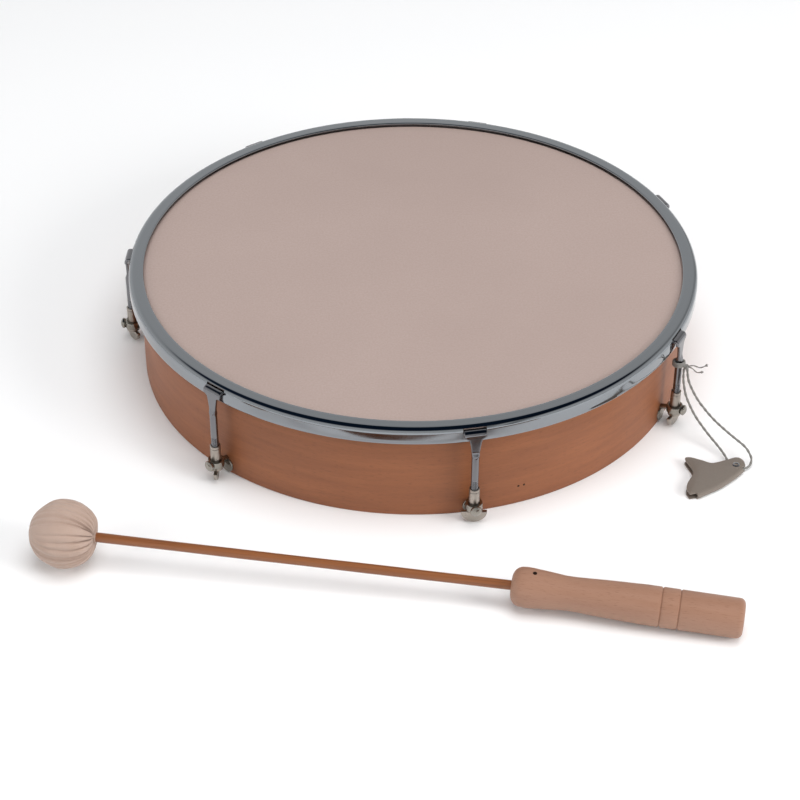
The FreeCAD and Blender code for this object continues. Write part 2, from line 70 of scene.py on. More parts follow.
def makeCamera():
    e = math.radians(camera["elevation"])
    back = Vector((0, -math.cos(e), math.sin(e)))
    forward = -back
    right = Vector((1, 0, 0))
    up = right.cross(forward)
    pan, tilt, roll = (math.radians(camera[k]) for k in ("pan", "tilt", "roll"))
    forward, right = (
        forward * math.cos(pan) + right * math.sin(pan),
        right * math.cos(pan) - forward * math.sin(pan),
    )
    forward, up = (
        forward * math.cos(tilt) + up * math.sin(tilt),
        up * math.cos(tilt) - forward * math.sin(tilt),
    )
    right, up = (
        right * math.cos(roll) + up * math.sin(roll),
        up * math.cos(roll) - right * math.sin(roll),
    )
    data = bpy.data.cameras.new("camera")
    data.lens = camera["lens"]
    data.sensor_width = camera["sensor"]
    obj = bpy.data.objects.new("camera", data)
    place = Vector(camera["aim"]) + back * camera["distance"]
    obj.matrix_world = Matrix.Translation(place) @ Matrix((right, up, -forward)).transposed().to_4x4()
    scene.collection.objects.link(obj)
    scene.camera = obj


makeCamera()


# Mesh helpers
def runLengths(points, closed=False):
    total = [0.0]
    ring = list(points) + ([points[0]] if closed else [])
    for a, b in zip(ring, ring[1:]):
        total.append(total[-1] + (Vector(b) - Vector(a)).length)
    return total


# Quads over rows of points. across joins a row's ends, and along joins the last row to the first
def addGrid(bm, rows, us, vs, across=False, along=False):
    uv = bm.loops.layers.uv.verify()
    verts = [[bm.verts.new(p) for p in row] for row in rows]
    nRow, nCol = len(rows), len(rows[0])
    for i in range(nRow if along else nRow - 1):
        for j in range(nCol if across else nCol - 1):
            i2, j2 = (i + 1) % nRow, (j + 1) % nCol
            face = bm.faces.new((verts[i][j], verts[i][j2], verts[i2][j2], verts[i2][j]))
            spots = ((us[j], vs[i]), (us[j + 1], vs[i]), (us[j + 1], vs[i + 1]), (us[j], vs[i + 1]))
            for loop, spot in zip(face.loops, spots):
                loop[uv].uv = spot
    return verts


# Texture coordinates of a turned piece: along its profile, and round its axis
def mapTurned(bm, run, lengths, closed, widest):
    uv = bm.loops.layers.uv.verify()
    turn = 2 * math.pi
    for face in bm.faces:
        middle = face.calc_center_median()
        centre = math.atan2(middle.y, middle.x) % turn
        furthest = max(loop.vert[run] for loop in face.loops)
        for loop in face.loops:
            x, y, _ = loop.vert.co
            away = (math.atan2(y, x) - centre + math.pi) % turn - math.pi if x or y else 0.0
            length = loop.vert[run]
            if closed and furthest - length > lengths[-1] / 2:
                length += lengths[-1]
            loop[uv].uv = (length, widest * (centre + away))


# A profile of (radius, height) turned round Z, then placed by a matrix
def addTurned(bm, profile, segments, closed=True, matrix=None):
    part = bmesh.new()
    part.loops.layers.uv.verify()
    run = part.verts.layers.float.new("run")
    lengths = runLengths(profile, closed)
    verts = []
    for (r, z), length in zip(profile, lengths):
        vert = part.verts.new((r, 0, z))
        vert[run] = length
        verts.append(vert)
    pairs = list(zip(verts, verts[1:]))
    if closed:
        pairs.append((verts[-1], verts[0]))
    geom = verts + [part.edges.new(pair) for pair in pairs]
    turn = 2 * math.pi
    bmesh.ops.spin(
        part, geom=geom, cent=(0, 0, 0), axis=(0, 0, 1), angle=turn, steps=segments, use_merge=True
    )
    mapTurned(part, run, lengths, closed, max(r for r, _ in profile))
    part.verts.layers.float.remove(run)
    merge(bm, part, matrix)


def arc(cx, cy, radius, start, end, steps):
    turns = [math.radians(start + (end - start) * k / steps) for k in range(steps + 1)]
    return [(cx + radius * math.cos(t), cy + radius * math.sin(t)) for t in turns]


# A closed profile with each corner turned into a small arc, at most a third of its sides
def rounded(profile, radius, steps=3):
    out = []
    count = len(profile)
    for k, corner in enumerate(profile):
        a, b, c = Vector(profile[k - 1]), Vector(corner), Vector(profile[(k + 1) % count])
        if corner[0] < 1e-6:
            out.append(tuple(b))
            continue
        cut = min(radius, (a - b).length / 3, (c - b).length / 3)
        start, end = b + (a - b).normalized() * cut, b + (c - b).normalized() * cut
        for s in range(steps + 1):
            t = s / steps
            p = start * (1 - t) ** 2 + b * 2 * t * (1 - t) + end * t**2
            out.append((p.x, p.y))
    return out


# A smooth line through points
def spline(points, steps, closed=False):
    out = []
    count = len(points)
    pts = [Vector(p) for p in points]
    for k in range(count if closed else count - 1):
        p0 = pts[(k - 1) % count] if closed or k > 0 else pts[0]
        p1, p2 = pts[k], pts[(k + 1) % count]
        p3 = pts[(k + 2) % count] if closed or k + 2 < count else pts[-1]
        for s in range(steps):
            t = s / steps
            out.append(
                0.5
                * (
                    2 * p1
                    + (p2 - p0) * t
                    + (2 * p0 - 5 * p1 + 4 * p2 - p3) * t**2
                    + (3 * p1 - p0 - 3 * p2 + p3) * t**3
                )
            )
    if not closed:
        out.append(pts[-1])
    return out


strandDepth = 0.13  # how deep the grooves between a cord's strands are, as a share


# A tube along a line of points. lobes and pitch give it twisted strands
def addTube(bm, line, radiusAt, sides=12, lobes=0, pitch=0.003, closed=False):
    count = len(line)
    tangents = []
    for k in range(count):
        before = line[(k - 1) % count] if closed or k > 0 else line[0]
        after = line[(k + 1) % count] if closed or k < count - 1 else line[-1]
        tangents.append((after - before).normalized())
    side = tangents[0].orthogonal().normalized()
    rows = []
    run = 0.0
    for k, (point, ahead) in enumerate(zip(line, tangents)):
        side = (side - ahead * side.dot(ahead)).normalized()
        other = ahead.cross(side)
        run += (point - line[k - 1]).length if k else 0.0
        row = []
        for s in range(sides):
            a = 2 * math.pi * s / sides
            r = radiusAt(k / max(count - 1, 1))
            if lobes:
                r *= 1 - strandDepth + strandDepth * math.cos(lobes * a - 2 * math.pi * run / pitch)
            row.append(point + side * (r * math.cos(a)) + other * (r * math.sin(a)))
        rows.append(row)
    us = [s / sides for s in range(sides + 1)]
    verts = addGrid(bm, rows, us, runLengths(line, closed), across=True, along=closed)
    if not closed:
        for ring in (verts[0], verts[-1]):
            bm.faces.new(ring)


def bevelSharp(bm, offset, segments=2, angle=30):
    edges = [e for e in bm.edges if len(e.link_faces) == 2 and e.calc_face_angle(0) > math.radians(angle)]
    bmesh.ops.bevel(
        bm, geom=edges, offset=offset, affect="EDGES", segments=segments, profile=0.5, material=-1
    )


# A flat outline in XY extruded from low to high, with its edges broken
def addPrism(bm, outlinePoints, low, high, bevel=0.0, segments=2):
    part = bmesh.new()
    part.loops.layers.uv.verify()
    base = [part.verts.new((p[0], p[1], low)) for p in outlinePoints]
    face = part.faces.new(base)
    top = bmesh.ops.extrude_face_region(part, geom=[face])
    moved = [g for g in top["geom"] if isinstance(g, bmesh.types.BMVert)]
    bmesh.ops.translate(part, verts=moved, vec=(0, 0, high - low))
    bmesh.ops.recalc_face_normals(part, faces=part.faces)
    if bevel:
        bevelSharp(part, bevel, segments, 50)
    merge(bm, part)


def merge(bm, part, matrix=None):
    if matrix:
        bmesh.ops.transform(part, matrix=matrix, verts=part.verts)
    holder = bpy.data.meshes.new("holder")
    part.to_mesh(holder)
    part.free()
    bm.from_mesh(holder)
    bpy.data.meshes.remove(holder)


# Places a piece turned round Z so that it lies along the radius
def along(distance, height):
    return Matrix.Translation((distance, 0, height)) @ Matrix.Rotation(math.pi / 2, 4, "Y")


def makePiece(name, bm, look, body, nodes, sharp=35):
    bmesh.ops.remove_doubles(bm, verts=bm.verts, dist=1e-7)
    bmesh.ops.dissolve_degenerate(bm, edges=bm.edges, dist=1e-8)
    bmesh.ops.recalc_face_normals(bm, faces=bm.faces)
    for face in bm.faces:
        face.smooth = True
    for edge in bm.edges:
        edge.smooth = edge.calc_face_angle(0) < math.radians(sharp)
    mesh = bpy.data.meshes.new(name)
    bm.to_mesh(mesh)
    bm.free()
    mesh.materials.append(look)
    obj = bpy.data.objects.new(name, mesh)
    scene.collection.objects.link(obj)
    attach(obj, body)
    if nodes:
        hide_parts(*nodes)
    return obj


# Material helpers
def tint(r, g, b):
    def linear(c):
        c /= 255
        return c / 12.92 if c <= 0.04045 else ((c + 0.055) / 1.055) ** 2.4

    return (linear(r), linear(g), linear(b), 1)


def newLook(name, colour, roughness, metallic=0.0, **more):
    mat = bpy.data.materials.new(name)
    mat.use_nodes = True
    shader = mat.node_tree.nodes["Principled BSDF"]
    shader.inputs["Base Color"].default_value = colour
    shader.inputs["Roughness"].default_value = roughness
    shader.inputs["Metallic"].default_value = metallic
    for key, value in more.items():
        shader.inputs[key.replace("_", " ")].default_value = value
    return mat, mat.node_tree, shader


def node(tree, kind, links=(), **values):
    made = tree.nodes.new("ShaderNode" + kind)
    for key, value in values.items():
        if hasattr(made, key):
            setattr(made, key, value)
        else:
            made.inputs[key.replace("_", " ")].default_value = value
    for target, source in links:
        tree.links.new(source, made.inputs[target])
    return made


def coords(tree, kind="UV", scale=(1, 1, 1)):
    source = node(tree, "TexCoord").outputs[kind]
    return node(tree, "Mapping", [("Vector", source)], Scale=scale).outputs["Vector"]


def noiseOf(tree, vector, scale, detail=3.0, rough=0.5, warp=0.0):
    made = node(
        tree, "TexNoise", [("Vector", vector)], Scale=scale, Detail=detail, Roughness=rough, Distortion=warp
    )
    return made.outputs["Fac"]


def ramp(tree, factor, stops):
    made = node(tree, "ValToRGB", [("Fac", factor)])
    elements = made.color_ramp.elements
    while len(elements) < len(stops):
        elements.new(0.5)
    for element, (place, colour) in zip(elements, stops):
        element.position = place
        element.color = colour
    return made.outputs["Color"]


def mixed(tree, factor, first, second, how="MIX"):
    made = node(tree, "Mix", data_type="RGBA", blend_type=how)
    made.clamp_factor = True
    for index, value in ((0, factor), (6, first), (7, second)):
        if isinstance(value, bpy.types.NodeSocket):
            tree.links.new(value, made.inputs[index])
        else:
            made.inputs[index].default_value = value
    return made.outputs[2]


def bumped(tree, shader, height, distance, strength=1.0):
    made = node(tree, "Bump", [("Height", height)], Distance=distance, Strength=strength)
    tree.links.new(made.outputs["Normal"], shader.inputs["Normal"])


def grey(value):
    return (value, value, value, 1)


# Looks. Scales are per metre
woods = {
    "shell": {
        "name": "shellPly",
        "light": tint(148, 89, 52),
        "dark": tint(124, 72, 41),
        "fleck": tint(104, 60, 34),
        "along": 30,
        "across": 320,
        "roughness": 0.55,
        "fleckScale": (2200, 260, 1),
    },
    "beech": {
        "name": "handleBeech",
        "light": tint(157, 119, 98),
        "dark": tint(146, 107, 86),
        "fleck": tint(112, 74, 54),
        "along": 320,
        "across": 30,
        "roughness": 0.5,
        "fleckScale": (260, 2600, 1),
    },
    "cane": {
        "name": "caneShaft",
        "light": tint(142, 88, 50),
        "dark": tint(118, 68, 36),
        "fleck": tint(88, 48, 24),
        "along": 14,
        "across": 900,
        "roughness": 0.38,
        "fleckScale": (2400, 30, 1),
    },
}


# Wood with its grain along one texture direction, a slow cloud of colour and dark flecks
def woodLook(name, light, dark, fleck, along, across, roughness, fleckScale):
    mat, tree, shader = newLook(name, light, roughness, Coat_Weight=0.08, Coat_Roughness=0.4)
    cloud = noiseOf(tree, coords(tree, "UV", (across * 0.4, along * 0.4, 1)), 1.0, 4.0)
    grain = noiseOf(tree, coords(tree, "UV", (across, along, 1)), 1.0, 5.0, 0.65, 0.4)
    base = mixed(tree, ramp(tree, cloud, [(0.3, grey(0)), (0.7, grey(1))]), light, dark)
    streak = ramp(tree, grain, [(0.35, grey(0)), (0.65, grey(1))])
    base = mixed(tree, 0.35, base, mixed(tree, streak, light, dark))
    spots = noiseOf(tree, coords(tree, "UV", fleckScale), 1.0, 1.0, 0.4)
    fleckMask = ramp(tree, spots, [(0.60, grey(0)), (0.72, grey(0.45))])
    base = mixed(tree, fleckMask, base, fleck)
    tree.links.new(base, shader.inputs["Base Color"])
    bumped(tree, shader, grain, 0.00012, 0.5)
    return mat


# Metals: colour, roughness, how far the roughness strays and the scale of its smears
metals = {
    "chrome": ("hoopChrome", tint(143, 147, 151), 0.08, 0.03, 60),
    "hook": ("hookChrome", tint(124, 124, 127), 0.13, 0.05),
    "nickel": ("nickel", tint(150, 146, 138), 0.22, 0.08),
    "nut": ("satinNickel", tint(166, 158, 149), 0.34, 0.1),
    "zinc": ("zinc", tint(184, 186, 188), 0.35, 0.1),
    "brad": ("darkBrad", tint(70, 56, 48), 0.5, 0.1),
    "key": ("keySteel", tint(134, 124, 115), 0.55, 0.06, 900, 0.35),
}


def metalLook(name, colour, roughness, spread=0.04, scale=400, metallic=1.0):
    mat, tree, shader = newLook(name, colour, roughness, metallic)
    smear = noiseOf(tree, coords(tree, "Object"), scale, 4.0)
    low, high = max(roughness - spread, 0.02), roughness + spread
    tree.links.new(ramp(tree, smear, [(0.3, grey(low)), (0.7, grey(high))]), shader.inputs["Roughness"])
    return mat


skinFinish = {
    "base": tint(170, 152, 145),
    "light": tint(173, 154, 147),
    "dark": tint(167, 148, 141),
    "grain": tint(157, 137, 128),
    "roughness": 0.62,
}


def skinLook():
    mat, tree, shader = newLook(
        "drumSkin", skinFinish["base"], skinFinish["roughness"], Coat_Weight=0.08, Coat_Roughness=0.5
    )
    broad = noiseOf(tree, coords(tree, "Object"), 9, 3.0)
    fine = noiseOf(tree, coords(tree, "Object"), 900, 4.0, 0.6)
    cloud = ramp(tree, broad, [(0.3, grey(0)), (0.7, grey(1))])
    base = mixed(tree, cloud, skinFinish["light"], skinFinish["dark"])
    grain = ramp(tree, fine, [(0.35, grey(0)), (0.7, grey(0.5))])
    base = mixed(tree, grain, base, skinFinish["grain"])
    tree.links.new(base, shader.inputs["Base Color"])
    bumped(tree, shader, fine, 0.00006, 0.5)
    return mat


stringFinish = {"base": tint(118, 116, 111), "dark": tint(92, 90, 86), "light": tint(150, 148, 143)}


def stringLook():
    mat, tree, shader = newLook("string", stringFinish["base"], 0.85, Sheen_Weight=0.3)
    hairs = noiseOf(tree, coords(tree, "Object"), 4000, 3.0)
    twist = mixed(tree, hairs, stringFinish["dark"], stringFinish["light"])
    tree.links.new(twist, shader.inputs["Base Color"])
    return mat


clothFinish = {
    "base": tint(174, 150, 138),
    "light": tint(176, 153, 140),
    "soiled": tint(171, 147, 133),
    "threads": 420,  # bands of the weave, per metre of cloth
}


def clothLook():
    mat, tree, shader = newLook("beaterCotton", clothFinish["base"], 0.9, Sheen_Weight=0.15)
    waves = []
    for direction, scale in (("X", (1, 0, 0)), ("Y", (0, 1, 0))):
        vector = coords(tree, "UV", scale)
        wave = node(
            tree, "TexWave", [("Vector", vector)], Scale=clothFinish["threads"], bands_direction=direction
        )
        waves.append(wave.outputs["Color"])
    weave = mixed(tree, 1.0, waves[0], waves[1], "MULTIPLY")
    soil = noiseOf(tree, coords(tree, "Object"), 120, 4.0)
    soiled = ramp(tree, soil, [(0.35, grey(0)), (0.75, grey(1))])
    base = mixed(tree, soiled, clothFinish["light"], clothFinish["soiled"])
    tree.links.new(base, shader.inputs["Base Color"])
    bumped(tree, shader, weave, 0.0001, 0.6)
    return mat


def makeLooks():
    made = {key: woodLook(**wood) for key, wood in woods.items()}
    made.update({key: metalLook(*metal) for key, metal in metals.items()})
    made.update({"skin": skinLook(), "string": stringLook(), "cloth": clothLook()})
    return made


looks = makeLooks()
print("looks made")

# Key's cord, the same route as in the CAD
cordRoute = [
    (0.1456, -0.0754, 0.0390), (0.1458, -0.0758, 0.0315), (0.1476, -0.0784, 0.0230),
    (0.1524, -0.0840, 0.0144), (0.1590, -0.0922, 0.0086), (0.1650, -0.0990, 0.0044),
    (0.1686, -0.1052, 0.0021), (0.1692, -0.1144, 0.00195), (0.1734, -0.1163, 0.00195),
    (0.1802, -0.1120, 0.0017), (0.1816, -0.1086, 0.0044), (0.1784, -0.1054, 0.0094),
    (0.1706, -0.0982, 0.0122), (0.1616, -0.0890, 0.0158), (0.1534, -0.0804, 0.0226),
    (0.1486, -0.0758, 0.0310), (0.1474, -0.0750, 0.0390),
]
cordSizes = {
    "radius": 0.0007,
    "share": 0.45,  # of a straight run that a bend may take
    "step": 0.0003,
    "pitch": 0.0036,
    "sides": 12,
    "strands": 2,
}


# Points along straight runs joined by tangent arcs
def tangentLine(points, share, step):
    corners = [Vector(p) for p in points]
    line = [corners[0]]
    for before, corner, after in zip(corners, corners[1:], corners[2:]):
        back, ahead = (before - corner).normalized(), (after - corner).normalized()
        half = (math.pi - back.angle(ahead)) / 2
        setback = share * min((corner - before).length, (corner - after).length)
        radius = setback / math.tan(half)
        middle = corner + (back + ahead).normalized() * (radius / math.cos(half))
        start = (corner + back * setback - middle).normalized()
        end = (corner + ahead * setback - middle).normalized()
        stops = max(3, round(2 * half * radius / step))
        line += [middle + start.slerp(end, k / stops) * radius for k in range(stops + 1)]
    line.append(corners[-1])
    even = [line[0]]
    for a, b in zip(line, line[1:]):
        pieces = max(1, math.ceil((b - a).length / step))
        even += [a.lerp(b, k / pieces) for k in range(1, pieces + 1) if (b - a).length > 1e-7]
    return even


def makeCord():
    line = tangentLine(cordRoute, cordSizes["share"], cordSizes["step"])
    bm = bmesh.new()
    sides, strands, pitch = cordSizes["sides"], cordSizes["strands"], cordSizes["pitch"]
    addTube(bm, line, lambda t: cordSizes["radius"], sides, strands, pitch)
    cord = makePiece("keyCord", bm, looks["string"], "drum", ["key_cord"], 60)
    return cord, line


knot = {
    "place": (0.00344, -0.00241, 0.0402),  # from the hook's axis at the floor
    "start": -35,  # degrees round the hook at which its turns begin
    "turns": 3,
    "wrapRadius": 0.003,
    "wrapLow": 0.0397,
    "wrapRise": 0.0027,
    "size": 0.00048,
    "thick": 0.0006,
    "tails": ((0.0106, -0.0038, 0.0039), (0.0080, -0.0058, 0.0009)),
    "tailThick": 0.00036,
    "hairs": 9,
    "hairThick": 0.00014,
    "fray": 0.0007,
}


def tailRadius(t):
    return knot["tailThick"] + 0.0005 * max(0.0, (t - 0.88) / 0.12)


# Turns round the hook's rod, an overhand knot and two frayed tails
def makeKnot():
    bm = bmesh.new()
    sides, strands, pitch = cordSizes["sides"], cordSizes["strands"], cordSizes["pitch"]
    turn = lugTurn(1)
    hookPlace = Vector((lug["axis"] * math.cos(turn), lug["axis"] * math.sin(turn), 0))
    knotPlace = hookPlace + Vector(knot["place"])
    wraps, stops = [], 144
    for k in range(stops + 1):
        t = k / stops
        a = math.radians(knot["start"]) + t * 2 * math.pi * knot["turns"]
        r, z = knot["wrapRadius"], knot["wrapLow"] + knot["wrapRise"] * t
        wraps.append(hookPlace + Vector((r * math.cos(a), r * math.sin(a), z)))
    addTube(bm, wraps, lambda t: cordSizes["radius"], sides, strands, pitch)
    loop, stops = [], 96
    for k in range(stops):
        a = 2 * math.pi * k / stops
        offset = Vector(
            (math.sin(a) + 2 * math.sin(2 * a), math.cos(a) - 2 * math.cos(2 * a), -1.3 * math.sin(3 * a))
        )
        loop.append(knotPlace + offset * knot["size"])
    addTube(bm, loop, lambda t: knot["thick"], sides, strands, pitch, closed=True)
    for end in knot["tails"]:
        tip = Vector(end)
        sag = Vector((0, 0, -0.0012))
        way = [knotPlace, knotPlace + tip * 0.35 - sag * 0.4, knotPlace + tip * 0.7 + sag, knotPlace + tip]
        # The last part of a tail opens out
        addTube(bm, spline(way, 12), tailRadius, 10, strands, 0.003)
        for k in range(knot["hairs"]):
            spread = Vector([random.uniform(-1, 1) for axis in range(3)]) * knot["fray"]
            root = knotPlace + tip * 0.97
            hair = spline([root, root + tip * 0.05 + spread * 0.5, root + tip * 0.07 + spread], 4)
            addTube(bm, hair, lambda t: knot["hairThick"], 5)
    return makePiece("cordKnot", bm, looks["string"], "drum", ["cord_knot"], 60)


# Tuning key: a sheet folded double along its lower edge. Its outline is in millimetres
keyPlace = Vector((0.1725, -0.1131, 0))
keySizes = {"sheet": 0.0008, "thick": 0.0039, "bevel": 0.00018, "clearance": 0.00001, "foldSteps": 12}
keyEdge = [(4.9, -1.2), (4.4, 3.5), (1.2, 6.3), (-4.5, 4.1), (-12.3, 1.3), (-17.5, 3.5), (-23.1, 5.9)]
keyTail = [
    (-26.2, 5.7), (-26.3, 2.9), (-23.9, -3.7), (-23.7, -8.4),
    (-26.9, -14.9), (-28.2, -20.5), (-26.9, -24.9),
]
keyFold = [(-22.3, -25.5), (-16.0, -21.3), (-9.7, -17.1), (-1.3, -9.3), (3.9, -3.5)]


def makeKey():
    bm = bmesh.new()
    sheet, half = keySizes["sheet"], keySizes["thick"] / 2
    fold = spline([(p[0] * 0.001, p[1] * 0.001, 0) for p in keyFold], 8)
    inward = []
    for k in range(len(fold)):
        run = (fold[min(k + 1, len(fold) - 1)] - fold[max(k - 1, 0)]).normalized()
        inward.append(Vector((-run.y, run.x, 0)))
    top = spline([(p[0] * 0.001, p[1] * 0.001, 0) for p in keyEdge + keyTail], 6)
    leaf = [(keyPlace + p)[:2] for p in top + [p + n * half for p, n in zip(fold, inward)]]
    for low in (0.0, keySizes["thick"] - sheet):
        addPrism(bm, leaf, low, low + sheet, keySizes["bevel"])
    # Half a round of sheet along the fold
    steps = keySizes["foldSteps"]
    outer = [(half, math.radians(-90 + 180 * s / steps)) for s in range(steps + 1)]
    section = outer + [(half - sheet, a) for _, a in reversed(outer)]
    rows = []
    for p, n in zip(fold, inward):
        centre = keyPlace + p + n * (half + keySizes["clearance"]) + Vector((0, 0, half))
        rows.append([centre - n * (r * math.cos(a)) + Vector((0, 0, r * math.sin(a))) for r, a in section])
    us = [k / len(section) for k in range(len(section) + 1)]
    verts = addGrid(bm, rows, us, runLengths(fold), across=True)
    for ring in (verts[0], verts[-1]):
        bm.faces.new(ring)
    return makePiece("tuningKey", bm, looks["key"], "drum", ["tuning_key"], 30)


def makeEyelet():
    bm = bmesh.new()
    matrix = Matrix.Translation(keyPlace)
    profile = [(0.0008, 0.0), (0.0008, 0.0039), (0.0012, 0.0041), (0.0018, 0.0040)]
    profile += [(0.0020, 0.0039), (0.0015, 0.0038), (0.0015, 0.0)]
    addTurned(bm, profile, 32, True, matrix)
    return makePiece("keyEyelet", bm, looks["zinc"], "drum", ["key_eyelet"])


keyCord, cordLine = makeCord()
cordKnot = makeKnot()
tuningKey = makeKey()
keyEyelet = makeEyelet()
cordLength = sum((b - a).length for a, b in zip(cordLine, cordLine[1:]))
print("cord and key made", round(cordLength, 4))

# Shell
shell = {
    "outer": 0.1524,
    "inner": 0.1464,
    "top": 0.0575,
    "edge": 0.0008,  # round of the lower rim
    "bearing": (0.1491, 0.1479),  # the flat that the skin bears on
    "segments": 420,
}
brad = {
    "turn": 22.0,  # degrees from the front
    "height": 0.0115,
    "spacing": 0.0032,
    "foot": 0.1480,
    "radius": 0.0008,
    "length": 0.0045,
}


def makeShell():
    bm = bmesh.new()
    o, i, t, edge = shell["outer"], shell["inner"], shell["top"], shell["edge"]
    profile = arc(o - edge, edge, edge, -90, 0, 4)
    profile += [(o, 0.012), (o, 0.024), (o, 0.036), (o, t - 0.0036), (o - 0.0002, t - 0.0031)]
    profile += [(r, t) for r in shell["bearing"]]
    profile += [(i + 0.0001, t - 0.0015), (i, t - 0.002), (i, 0.036), (i, 0.018)]
    profile += arc(i + edge, edge, edge, 180, 270, 4)
    addTurned(bm, profile, shell["segments"])
    return makePiece("shellRing", bm, looks["shell"], "drum", ["shell"], 30)


def makeBrads():
    bm = bmesh.new()
    r, length = brad["radius"], brad["length"]
    profile = [(0, 0), (r, 0), (r, length - 0.0002), (r - 0.0002, length - 0.00005), (0, length)]
    for side in (-0.5, 0.5):
        turn = math.radians(brad["turn"] - 90) + side * brad["spacing"] / shell["outer"]
        matrix = Matrix.Rotation(turn, 4, "Z") @ along(brad["foot"], brad["height"])
        addTurned(bm, profile, 20, False, matrix)
    return makePiece("scarfBrads", bm, looks["brad"], "drum", ["scarf_brads"])


# Skin lapped round its flesh hoop
head = {
    "top": 0.0579,
    "under": 0.0575,
    "wire": 0.0016,  # radius of the flesh hoop's wire, with its clearance
    "hoopRadius": 0.1547,
    "hoopHeight": 0.05675,
    "segments": 256,
}


def makeSkin():
    bm = bmesh.new()
    wireR, wireZ = head["hoopRadius"], head["hoopHeight"]
    inner, outer = head["wire"], head["wire"] + head["top"] - head["under"]
    top = [(r, head["top"]) for r in (0.0, 0.02, 0.05, 0.08, 0.11, 0.13, 0.145, 0.1485, 0.1491)]
    lap = arc(wireR, wireZ, inner, -128, 125, 20)
    back = arc(wireR, wireZ, outer, 125, -122, 20)
    under = [(r, head["under"]) for r in (0.1491, 0.1485, 0.13, 0.09, 0.05, 0.0)]
    addTurned(bm, top + lap + back + under, head["segments"], False)
    return makePiece("skinHead", bm, looks["skin"], "drum", ["skin_head"], 50)


def makeFleshHoop():
    bm = bmesh.new()
    wire = arc(head["hoopRadius"], head["hoopHeight"], head["wire"] - 0.00002, 0, 345, 23)
    addTurned(bm, wire, head["segments"])
    return makePiece("fleshHoop", bm, looks["zinc"], "drum", ["flesh_hoop"])


# Counterhoop: a pressed angle with a slot for each hook's tongue
hoop = {
    "inner": 0.1570,
    "outer": 0.1582,
    "sheet": 0.0012,
    "flange": 0.1500,  # inner edge of the flange
    "top": 0.0600,
    "bottom": 0.0508,
    "corner": 0.0028,
}
slot = {
    "half": 0.0061,
    "low": 0.05665,
    "outerHigh": 42.7,  # degrees up the corner, outside and inside
    "innerHigh": 68,
    "steps": 4,
    "gapSteps": 48,
}


def makeCounterhoop():
    bm = bmesh.new()
    inner, outer, corner, sheet = hoop["inner"], hoop["outer"], hoop["corner"], hoop["sheet"]
    top, bottom = hoop["top"], hoop["bottom"]
    cr, cz = outer - corner, top - corner
    profile = [(inner + 0.0001, bottom + 0.0003)]
    profile += arc(inner + 0.0006, bottom + 0.0005, 0.0005, 200, 340, 5)
    profile += [(outer, bottom + 0.0008), (outer, 0.0535)]
    outerLow = len(profile)
    profile += [(outer, slot["low"]), (outer, cz - 0.0002)]
    profile += arc(cr, cz, corner, 0, slot["outerHigh"], 4)
    outerHigh = len(profile) - 1
    profile += arc(cr, cz, corner, slot["outerHigh"], 90, 6)[1:]
    profile += [(0.1540, top), (0.1518, top - 0.00003)]
    profile += arc(hoop["flange"] + 0.0005, top - sheet / 2, sheet / 2, 90, 270, 8)
    profile += [(0.1530, top - sheet)]
    innerHigh = len(profile)
    profile += arc(cr, cz, corner - sheet, slot["innerHigh"], 0, 4)
    innerLow = len(profile)
    profile += [(inner, slot["low"]), (inner, 0.0535)]
    # The profile is spun over a slot's width and then over the gap to the next, seven times
    bm.loops.layers.uv.verify()
    run = bm.verts.layers.float.new("run")
    lengths = runLengths(profile, True)
    half = slot["half"] / outer
    start = lugTurn(0) - half
    verts = []
    for k, (r, z) in enumerate(profile):
        vert = bm.verts.new((r * math.cos(start), r * math.sin(start), z))
        vert[run] = lengths[k]
        verts.append(vert)
    geom = verts + [bm.edges.new((verts[k - 1], verts[k])) for k in range(len(verts))]
    gap = 2 * math.pi / lug["count"] - 2 * half
    walls = [(lengths[outerLow], lengths[outerHigh]), (lengths[innerHigh], lengths[innerLow])]
    cut = []
    for turn in range(lug["count"]):
        for angle, steps in ((2 * half, slot["steps"]), (gap, slot["gapSteps"])):
            known = set(bm.faces)
            spun = bmesh.ops.spin(bm, geom=geom, cent=(0, 0, 0), axis=(0, 0, 1), angle=angle, steps=steps)
            geom = spun["geom_last"]
            if steps == slot["steps"]:
                for face in [f for f in bm.faces if f not in known]:
                    spots = [v[run] for v in face.verts]
                    if any(first - 1e-7 < min(spots) and max(spots) < last + 1e-7 for first, last in walls):
                        cut.append(face)
    bmesh.ops.delete(bm, geom=cut, context="FACES")
    bmesh.ops.remove_doubles(bm, verts=bm.verts, dist=0.00001)
    # Each slot's outer and inner edges are joined by its walls
    for index in range(lug["count"]):
        middle = Vector((math.cos(lugTurn(index)), math.sin(lugTurn(index)), 0)) * outer
        reach = 2 * slot["half"]
        near = [e for e in bm.edges if e.is_boundary and (e.verts[0].co - middle).xy.length < reach]
        bmesh.ops.bridge_loops(bm, edges=near)
    mapTurned(bm, run, lengths, True, outer)
    bm.verts.layers.float.remove(run)
    return makePiece("counterHoop", bm, looks["chrome"], "drum", ["counterhoop"], 25)


# Hooks: a bent strip that narrows into a threaded rod
hook = {
    "half": 0.0008,  # half the strip's thickness
    "bend": 0.0006,
    "tongue": 0.0567,
    "tip": 0.15705,
    "square": 9,  # how square the strip's section is, where 2 is round
    "roundFrom": 0.0465,  # height at which the strip begins to turn round
    "roundOver": 0.0045,
    "fan": 0.0435,
    "rod": 0.0020,
    "end": 0.0110,
    "sides": 32,
}
thread = {"pitch": 0.0007, "top": 0.0290, "depth": 0.11, "end": 0.0005}
hookWidths = {"bar": 0.0058, "barLow": 0.0550, "shoulder": 0.0033, "shoulderLow": 0.0534}


